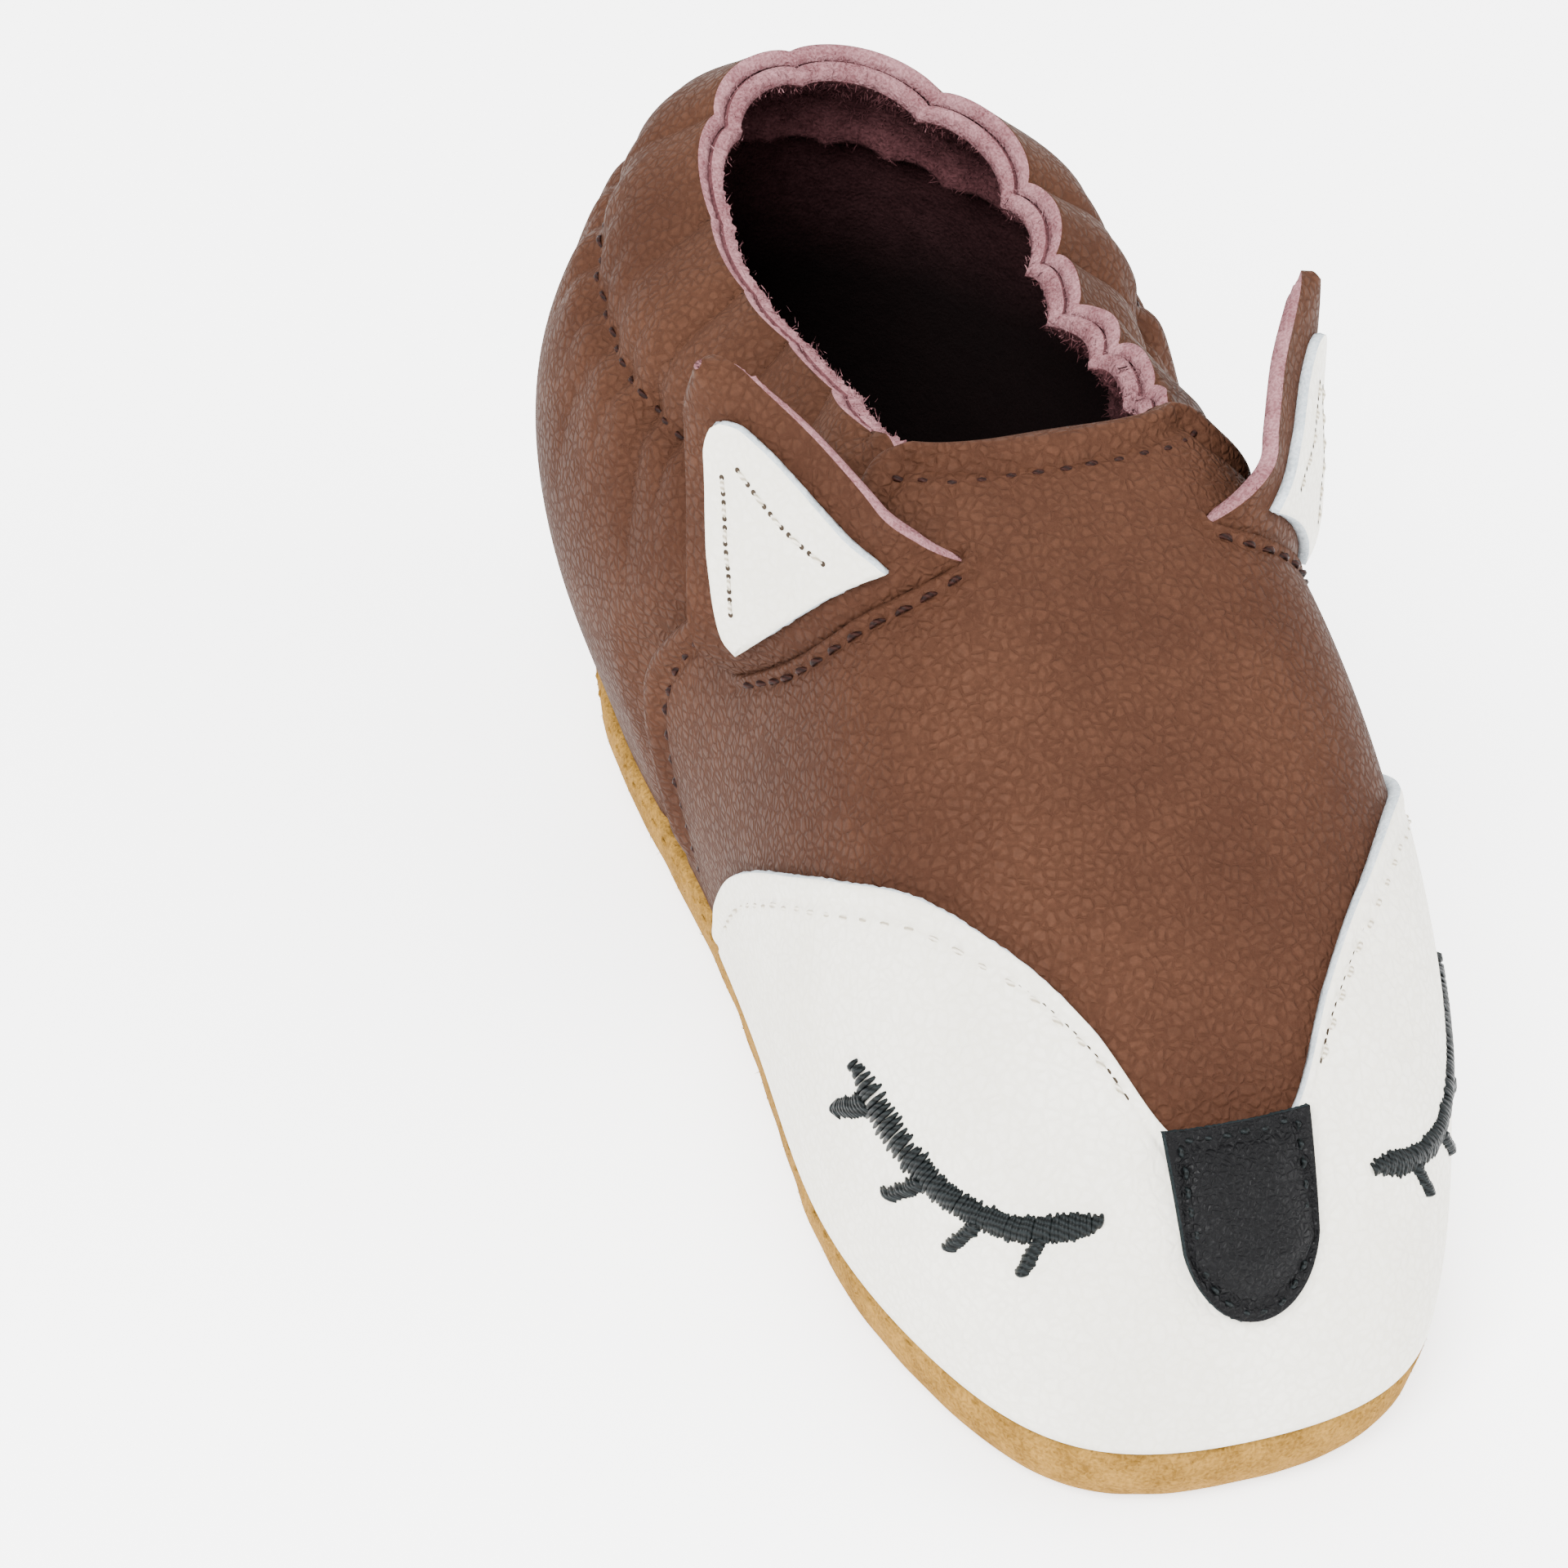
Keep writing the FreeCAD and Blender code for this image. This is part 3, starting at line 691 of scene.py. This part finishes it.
outer, inner = sheet_grids(mask_place, GAP + TRIM, GAP - 0.25, spaced(280),
                           np.linspace(0, 1, 90) ** 0.8, mask_relief)
points, faces, slots = slab(outer, inner, 0.12, 0.04)
mask = build("toe_mask_leather", points, faces, "shoe", [WHITE, RAW_WHITE, WHITE], slots, ("toe_mask",))


def nose_outline(s, t, inset=0.0):
    """D shape with a flat top and a round bottom."""
    side = 2 * s - 1
    low = NOSE_BOTTOM + 0.105 * (1 - np.sqrt(np.maximum(1 - 0.94 * side * side, 0.0)))
    half = NOSE_HALF * (0.93 + 0.07 * t)
    up = low + (NOSE_TOP - low) * t
    middle = (NOSE_TOP + NOSE_BOTTOM) / 2
    return side * half * (1 - inset), middle + (up - middle) * (1 - inset * 0.55)


def nose_relief(around, up, points):
    rim = np.minimum(np.minimum(run_along(points, 0), run_along(points[::-1], 0)[::-1]),
                     np.minimum(run_along(points, 1), run_along(points[:, ::-1], 1)[:, ::-1]))
    return soft_waves(points) + 0.45 * smooth(1.4, 4.2, rim) - 0.22 * bell(rim, 1.25, 0.4) + 0.05


def nose_place(s, t):
    return (*nose_outline(s, t), np.zeros_like(s))


outer, inner = sheet_grids(nose_place, 2 * TRIM + 2 * GAP + 0.1, TRIM + GAP,
                           spaced(70, 0.3), spaced(70, 0.3), nose_relief)
points, faces, slots = slab(outer, inner, 0.12, 0.03)
nose = build("nose_patch_leather", points, faces, "shoe", [BLACK, RAW_BLACK, BLACK], slots, ("nose_patch",))


# ---------------------------------------------------------------- embroidered eyelashes
def dot(a, b):
    return (a * b).sum(-1)


def at(around, up):
    return skin(around, up)[0]


def lash_point(t, drop):
    """Point of a closed eye: t along its arc, drop millimetres below it."""
    step = 0.004
    t, drop = np.broadcast_arrays(np.asarray(t, float), np.asarray(drop, float))
    around = LASH_ARC[0][0] + (LASH_ARC[-1][0] - LASH_ARC[0][0]) * t
    up = between(LASH_ARC, around)
    after = at(around + step, between(LASH_ARC, around + step))
    before = at(around - step, between(LASH_ARC, around - step))
    along = unit(after - before)
    climb = (at(around, up + step) - at(around, up)) / step
    down = climb - along * dot(climb, along)[..., None]
    lift = drop / np.linalg.norm(down, axis=-1)
    sideways = (at(around + step, up) - at(around - step, up)) / (2 * step)
    return around + lift * dot(climb, along) / dot(sideways, along), up - lift


def on_mask(around, up, side):
    """Points on the mask's face, and the outward directions there."""
    points, normals = skin(around * side, up)
    lift = GAP + TRIM + 0.05 + soft_waves(points)
    return points + normals * lift[..., None], normals


def satin(side):
    """Every thread of one closed eye: across the arc, then across each lash."""
    starts, ends = [], []
    count = int(LASH_ARC_LENGTH / LASH_PITCH)
    t = np.linspace(-0.01, 1.01, count) + rng.normal(0, 0.002, count)
    width = LASH_WIDTH / 2 * 1.12 * (0.55 + 0.45 * smooth(0.0, 0.12, np.minimum(t, 1 - t) + 0.02))
    ragged = rng.normal(0, 0.10, (2, count))
    starts.append(np.stack(lash_point(t - 0.006, -width + ragged[0]), 1))
    ends.append(np.stack(lash_point(t + 0.006, width + ragged[1]), 1))
    for spot in LASH_SPOTS:
        steps = np.linspace(0, 1, 12)
        drop = LASH_WIDTH / 2 - 0.3 + steps * (LASH_LENGTH - LASH_WIDTH / 2 + 0.3)
        middle = spot + steps * 0.05
        wide = 0.030 * (1.0 - 0.15 * steps)
        wobble = rng.normal(0, 0.003, (2, 12))
        starts.append(np.stack(lash_point(middle - wide + wobble[0], drop), 1))
        ends.append(np.stack(lash_point(middle + wide + wobble[1], drop + 0.18), 1))
    starts, ends = np.vstack(starts), np.vstack(ends)
    a, normals = on_mask(starts[:, 0], starts[:, 1], side)
    b, _ = on_mask(ends[:, 0], ends[:, 1], side)
    return a, b, normals


for side, word in ((-1, "left"), (1, "right")):
    starts, ends, ups = satin(side)
    points, faces = tubes(starts - ups * 0.1, ends - ups * 0.1, ups, 0.25, 0.40, 6, 6)
    lash = build("eyelash_" + word + "_threads", points, faces, "shoe", [BLACK_THREAD], None,
                 ("eyelash_" + word,))


# ---------------------------------------------------------------- stitching
def throat_path(t):
    """Just inside the vamp's free edge, from one flank over the instep to the other."""
    t = np.asarray(t, float)
    up = np.minimum(np.minimum(t, 1 - t) / 0.4, 1.0)
    flank = between(VAMP_EDGE, up) - 0.014 * (1 - up * 0.2)
    front = (between(VAMP_EDGE, 1.0) - 0.011) * np.clip((t - 0.5) / 0.1, -1, 1)
    around = np.where(t < 0.4, -flank, np.where(t > 0.6, flank, front))
    return around, np.minimum(up, 0.955)


def mask_path(t):
    around = (2 * t - 1) * MASK_END
    return around * 0.985, between(MASK_EDGE, np.abs(around)) - 0.030


def nose_path(t):
    """Round the nose, starting along the flat top."""
    t = np.asarray(t, float)
    s = np.interp(t, [0, 0.25, 0.45, 0.8, 1.0], [0, 1, 1, 0, 0])
    v = np.interp(t, [0, 0.25, 0.45, 0.8, 1.0], [1, 1, 0, 0, 1])
    return nose_outline(s, v, 0.17)


def ear_seam_path(side):
    def path(t):
        around = EAR_SLIT[0][0] + (EAR_SLIT[-1][0] - EAR_SLIT[0][0]) * t
        return (around - 0.004) * side, between(EAR_SLIT, around) - 0.015
    return path


points, normals = path_points(throat_path, 0.02, 0.98, -0.22, 900)
points = points + normals * soft_waves(points)[:, None]
hem = stitch_row("throat_stitching", points, normals, None, DARK_THREAD,
                 ("throat_stitch", "side_stitch"), 0.26)
bend_throat(hem)

for first, last, word in ((0.03, 0.440, "left"), (0.560, 0.97, "right")):
    points, normals = path_points(mask_path, first, last, GAP + TRIM - 0.10)
    points = points + normals * soft_waves(points)[:, None]
    row = stitch_row("mask_topstitch_" + word, points, normals, "shoe", CREAM_THREAD,
                     ("mask_topstitch",), 0.20, hole=NEEDLE_HOLE_SHADE)

points, normals = path_points(nose_path, 0.0, 1.0, 2 * TRIM + 2 * GAP - 0.02)
points = points + normals * soft_waves(points)[:, None]
row = stitch_row("nose_stitching", points, normals, "shoe", BLACK_THREAD, ("nose_stitch",), 0.20, 1.5)

t = np.linspace(0, 1, 3000)
around = 0.212 + 0.576 * t
up = np.full_like(t, FACING_LOW)
points, normals = skin(around, up)
points = points + normals * (heel_relief(around, up, points) + 0.02)[:, None]
row = stitch_row("collar_stitching", points, normals, "shoe", DARK_THREAD, ("collar_stitch",), 0.22)

for side, word in ((-1, "left"), (1, "right")):
    points, normals = path_points(ear_seam_path(side), 0.0, 1.0, 0.02)
    points = points + normals * soft_waves(points)[:, None]
    row = stitch_row("ear_" + word + "_slit_stitching", points, normals, "tongue", DARK_THREAD,
                     ("ear_" + word + "_seam",), 0.26)


# ---------------------------------------------------------------- ears
def ear_frame():
    """Of the +X ear: slit points, the fold line's inner end, its length, and the three directions."""
    t = np.linspace(0, 1, 41)
    around = EAR_SLIT[0][0] + (EAR_SLIT[-1][0] - EAR_SLIT[0][0]) * t
    line, normals = skin(around, between(EAR_SLIT, around))
    width = np.linalg.norm(line[-1] - line[0])
    across = (line[-1] - line[0]) / width
    out = normals[20] - across * normals[20].dot(across)
    out = out / np.linalg.norm(out)
    bulge = ((line - line[0]) @ out).max()
    backwards = np.cross(out, across)
    backwards = backwards * np.sign(backwards[2])
    tilt = math.radians(EAR_LEAN)
    rise = out * math.cos(tilt) + backwards * math.sin(tilt)
    return line, line[0] + out * (bulge + EAR_STAND), width, across, rise, out


def ear_sheet(u, y):
    """Middle of the ear's leather: u across it, y millimetres up from the fold, below 0 down to the slit."""
    line, corner, width, across, rise, out = ear_frame()
    tip_x, height = EAR_TIP
    apex = height + EAR_APEX
    share = np.clip(y, 0, None) / apex
    cap = np.sqrt(np.clip(1 - (np.clip(y - (height - EAR_ROUND), 0, EAR_ROUND) / EAR_ROUND) ** 2, 0.0, 1))
    centre = width / 2 + (tip_x - width / 2) * share
    half = (width / 2 - 0.3) * (1 - share) * cap + 0.5 * np.sin(math.pi * np.clip(share, 0, 1)) * cap
    x = centre + (2 * u - 1) * half
    fold = corner + across * x[..., None]
    flat = fold + rise * np.clip(y, 0, None)[..., None]
    where = np.clip(u, 0, 1) * 40
    i = np.minimum(where.astype(int), 39)
    f = (where - i)[..., None]
    slit = line[i] * (1 - f) + line[i + 1] * f - out * 0.8
    turn = np.clip((y + EAR_FOLD) / (2 * EAR_FOLD), 0, 1)[..., None]
    bent = slit * (1 - turn) ** 2 + 2 * fold * turn * (1 - turn) + (fold + rise * EAR_FOLD) * turn ** 2
    face = np.cross(across, rise)
    curl = 0.9 * (1 - (2 * u - 1) ** 2) * smooth(0, 6, y) - 0.5 + 0.8 * smooth(9, 19, y)
    return np.where((y < EAR_FOLD)[..., None], bent, flat) + face * (curl * smooth(-3, 5, y))[..., None]


def ear_layer(us, ys, low, high):
    """Closed slab of the ear between two heights off its middle."""
    u, y = np.meshgrid(us, ys, indexing="ij") if us.ndim == 1 else (us, ys)
    middle = ear_sheet(u, y)
    normals = unit(np.cross(np.gradient(middle, axis=0), np.gradient(middle, axis=1)))
    return middle + normals * high, middle + normals * low, normals


def both_ears(points, faces):
    """The +X piece and its mirror image, as (word, points, faces)."""
    mirrored = points * np.array([-1.0, 1.0, 1.0])
    return (("right", points, faces), ("left", mirrored, np.asarray(faces)[:, ::-1]))


def bend_ear(piece):
    _, corner, width, across, rise, out = ear_frame()
    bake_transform(piece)


crowded = 1 - (1 - np.linspace(0, 1, 60)) ** 1.8
rows = np.concatenate([np.linspace(-3, 3, 18)[:-1], 3 + (EAR_TIP[1] - 3.01) * crowded])
front, back, _ = ear_layer(spaced(70, 0.4), rows, -EAR_THICKNESS / 2, EAR_THICKNESS / 2)
points, faces, slots = slab(front, back, 0.10, 0.06)
for word, verts, loops in both_ears(points, faces):
    ear = build("ear_" + word + "_leather", verts, loops, None, [BROWN, RAW_MAUVE, BROWN], slots,
                ("ear_" + word + "_root", "ear_" + word + "_flap"))
    bend_ear(ear)


def patch_grid(columns, rows):
    """u and y of the white triangle sewn on the ear: flat bottom, slim rounded top."""
    t, v = np.meshgrid(np.linspace(-1, 1, columns), np.linspace(0, 1, rows), indexing="ij")
    height = EAR_TIP[1] - 4.2
    y = -1.0 + (height + 1.0) * (1 - (1 - v) ** 1.4)
    share = np.clip(y, 0, None) / height
    cap = np.sqrt(np.clip(1 - (np.clip(y - (height - 1.6), 0, 1.6) / 1.6) ** 2, 0, 1))
    _, _, width, _, _, _ = ear_frame()
    whole = width / 2 * (1 - np.clip(y, 0, None) / (EAR_TIP[1] + EAR_APEX))
    half = (width / 2 * 0.60 * (1 - share) + 1.1) * cap
    return 0.495 + t * half / whole / 2, y


us, ys = patch_grid(50, 50)
front, back, _ = ear_layer(us, ys, EAR_THICKNESS / 2 - 0.1, EAR_THICKNESS / 2 + 0.05 + TRIM)
points, faces, slots = slab(front, back, 0.12, 0.04)
for word, verts, loops in both_ears(points, faces):
    patch = build("ear_" + word + "_patch_leather", verts, loops, None, [WHITE, RAW_WHITE, WHITE], slots,
                  ("ear_" + word + "_patch",))
    bend_ear(patch)

# The patch's stitches run up one side and down the other.
legs = []
for low, high in (((0.29, 1.0), (0.47, 10.8)), ((0.76, 1.0), (0.58, 10.8))):
    u = np.linspace(low[0], high[0], 60)
    y = np.linspace(low[1], high[1], 60)
    middle, _, _ = ear_layer(np.stack([u, u + 0.01]), np.stack([y, y]), 0.0,
                             EAR_THICKNESS / 2 + TRIM + 0.06)
    lift = unit(np.cross(ear_frame()[3], ear_frame()[4]))
    starts, ends, ups = stitch_ends(middle[0], np.tile(lift, (60, 1)), STITCH_PITCH * 0.9)
    legs.append((starts, ends, ups))
starts, ends, ups = [np.vstack([leg[k] for leg in legs]) for k in range(3)]
points, faces = tubes(starts - ups * 0.1, ends - ups * 0.1, ups, 0.18, 0.16)
for word, verts, loops in both_ears(points, faces):
    row = build("ear_" + word + "_patch_stitching", verts, loops, "ear_" + word, [CREAM_THREAD], None,
                ("ear_" + word + "_patch_stitch",))
spots, normals = np.vstack([starts, ends]), np.vstack([ups, ups])
for word, flip in (("right", 1.0), ("left", -1.0)):
    mirror = np.array([flip, 1.0, 1.0])
    needle_holes("ear_" + word + "_patch_holes", spots * mirror, normals * mirror, "ear_" + word,
                 NEEDLE_HOLE_SHADE, 0.24)


# ---------------------------------------------------------------- the sole and insole
def sole_ring(inset, height, count=SOLE_STATIONS):
    around = np.arange(count) / count
    point = ROWS[0](around) - outward(ROWS[0], around) * np.asarray(inset)[..., None]
    point = lean(point)
    point[:, 2] = height
    return point


def stacked_rings(rings):
    """Closed surface through rings of equal count, with a flat end at both ends."""
    count = len(rings[0])
    k = np.arange(count)
    faces = []
    for level in range(len(rings) - 1):
        a, b = level * count, (level + 1) * count
        faces += np.column_stack([a + k, a + (k + 1) % count, b + (k + 1) % count, b + k]).tolist()
    last = (len(rings) - 1) * count
    faces.append(list(range(count))[::-1])
    faces.append(list(range(last, last + count)))
    return np.vstack(rings), faces


def fuller(rings, steps=4):
    """More rings between the given ones, on a smooth curve through them."""
    rings = np.array(rings)
    t = np.linspace(0, len(rings) - 1, (len(rings) - 1) * steps + 1)
    full = []
    for value in t:
        i = min(int(value), len(rings) - 2)
        f = value - i
        before, after = rings[max(i - 1, 0)], rings[min(i + 2, len(rings) - 1)]
        a, b = rings[i], rings[i + 1]
        full.append(a + 0.5 * f * (b - before + f * (2 * before - 5 * a + 4 * b - after
                                                     + f * (3 * (a - b) + after - before))))
    return full


turn = np.arange(SOLE_STATIONS) / SOLE_STATIONS * math.tau
uneven = 0.13 * ripple(np.cos(turn) * 60, np.sin(turn) * 60, 12, 9, 0.6)
# Inset and height round the sole's edge: underside, wrapped edge, then down inside to the floor.
edge = [(7.0, 0.0), (3.2, 0.02), (1.5, 0.45), (0.4, 1.8), (-0.35, 3.6), (-0.65, 5.8), (-0.35, 6.7),
        (0.5, 6.9), (1.6, 6.4), (1.9, 4.5), (1.9, 1.8)]
rings = [sole_ring(inset + uneven * min(k, 5) / 5, z) for k, (inset, z) in enumerate(edge)]
points, faces = stacked_rings(fuller(rings))
sole = build("outsole_suede", points, faces, "shoe", [SOLE], None, ("outsole",))

ring = sole_ring(-0.58, SEAM_HEIGHT - 1.0, 2400)
ring = np.vstack([ring, ring[:1]])
starts, ends, ups = stitch_ends(ring, outward(ROWS[0], np.linspace(0, 1, 2401)), 2.6, 0.55)
points, faces = tubes(starts - ups * 0.12, ends - ups * 0.12, ups, 0.16, 0.2)
row = build("sole_seam_thread", points, faces, "shoe", [SOLE], None, ("sole_seam",))


def cushion(name, inset, low, high, puff, material, nodes):
    """Soft layer with the shape of the sole, fuller towards its middle."""
    rim = sole_ring(inset, low, 240)
    middle = rim.mean(0)
    rings = [rim]
    for share in (1.0, 0.985, 0.95, 0.88, 0.75, 0.55, 0.3, 0.08):
        ring = middle + (rim - middle) * share
        ring[:, 2] = high + puff * (1 - share ** 4) - (0.35 if share == 1.0 else 0.0)
        rings.append(ring)
    points, faces = stacked_rings(rings)
    piece = build(name, points, faces, "shoe", [material], None, nodes)
    return piece


foam = cushion("insole_foam_pad", 2.3, 1.9, 4.4, 0.1, FOAM, ("insole_foam",))
lining = cushion("insole_cover", 2.2, 4.6, 5.5, 0.35, INSOLE, ("insole_lining",))


# ---------------------------------------------------------------- loose fibres
def scattered(grid, count):
    """Random places on a grid of points, with the surface's direction there."""
    rows, columns = grid.shape[:2]
    i = rng.integers(1, rows - 1, count)
    j = rng.integers(0, columns - 1, count)
    f = rng.uniform(0, 1, (count, 2))
    a, b, c = grid[i, j], grid[i - 1, j], grid[i, j + 1]
    return a + (b - a) * f[:, :1] + (c - a) * f[:, 1:], unit(np.cross(a - b, c - a))


places, ways = scattered(rim_rows, 9000)
places = places + rng.normal(0, 0.45, places.shape)
nap("collar_rim_nap", places, ways + np.array([0, 0, 1.0]), "shoe", RAW_MAUVE, 0.8)
places, ways = scattered(facing_inside, 9000)
nap("collar_inside_nap", places, -ways, "shoe", MAUVE, 0.7, 0.05)
wrapped_edge = np.array(fuller(rings))[14:30]
places, ways = scattered(wrapped_edge.transpose(1, 0, 2)[:, ::-1], 7000)
nap("sole_nap", places, ways, "shoe", SOLE, 0.45, 0.04)


# ---------------------------------------------------------------- studio
def pale_floor():
    g = Graph("studio_white")
    material = g.finish(Base_Color=(0.93, 0.93, 0.93, 1.0), Roughness=0.9, Specular_IOR_Level=0.1,
                        Emission_Color=(1.0, 1.0, 1.0, 1.0), Emission_Strength=2.0)
    mesh = bpy.data.meshes.new("floor")
    reach = 3.0
    corners = [(-reach, -reach, 0), (reach, -reach, 0), (reach, reach, 0), (-reach, reach, 0)]
    mesh.from_pydata(corners, [], [(0, 1, 2, 3)])
    mesh.materials.append(material)
    floor = bpy.data.objects.new("floor", mesh)
    bpy.context.scene.collection.objects.link(floor)


def soft_light(name, place, aim, size, power):
    """Square studio light pointed at aim."""
    light = bpy.data.lights.new(name, "AREA")
    light.size = size
    light.energy = power
    lamp = bpy.data.objects.new(name, light)
    lamp.location = place
    lamp.rotation_euler = (Vector(aim) - Vector(place)).to_track_quat("-Z", "Y").to_euler()
    bpy.context.scene.collection.objects.link(lamp)


def studio():
    world = bpy.data.worlds.new("studio")
    world.use_nodes = True
    sky = world.node_tree.nodes["Background"]
    sky.inputs["Color"].default_value = (1.0, 1.0, 1.0, 1.0)
    sky.inputs["Strength"].default_value = 2.0
    bpy.context.scene.world = world
    middle = (0.0, 0.0, 0.03)
    soft_light("key", (-0.45, -0.45, 0.75), middle, 0.5, 26.0)
    soft_light("fill", (0.7, -0.35, 0.45), middle, 0.6, 9.0)
    soft_light("back", (0.1, 0.7, 0.6), middle, 0.5, 6.0)


def place_camera():
    """Camera above the toe and a little to the big-toe side, rolled slightly."""
    azimuth = math.radians(CAMERA_AZIMUTH)
    elevation = math.radians(CAMERA_ELEVATION)
    roll = math.radians(CAMERA_ROLL)
    back = Vector((math.sin(azimuth) * math.cos(elevation), -math.cos(azimuth) * math.cos(elevation),
                   math.sin(elevation)))
    right = Vector((math.cos(azimuth), math.sin(azimuth), 0.0))
    up = back.cross(right)
    level_right, level_up = right.copy(), up.copy()
    right = level_right * math.cos(roll) + level_up * math.sin(roll)
    up = level_up * math.cos(roll) - level_right * math.sin(roll)
    place = Vector(CAMERA_AIM) * MM + back * CAMERA_DISTANCE * MM
    data = bpy.data.cameras.new("camera")
    data.sensor_width = SENSOR_WIDTH
    data.lens = PICTURE_SCALE * CAMERA_DISTANCE / PICTURE_WIDTH * SENSOR_WIDTH
    data.clip_start = 0.01
    camera = bpy.data.objects.new("camera", data)
    turn = Matrix((right, up, back)).transposed()
    camera.matrix_world = Matrix.Translation(place) @ turn.to_4x4()
    bpy.context.scene.collection.objects.link(camera)
    bpy.context.scene.camera = camera


pale_floor()
studio()
place_camera()
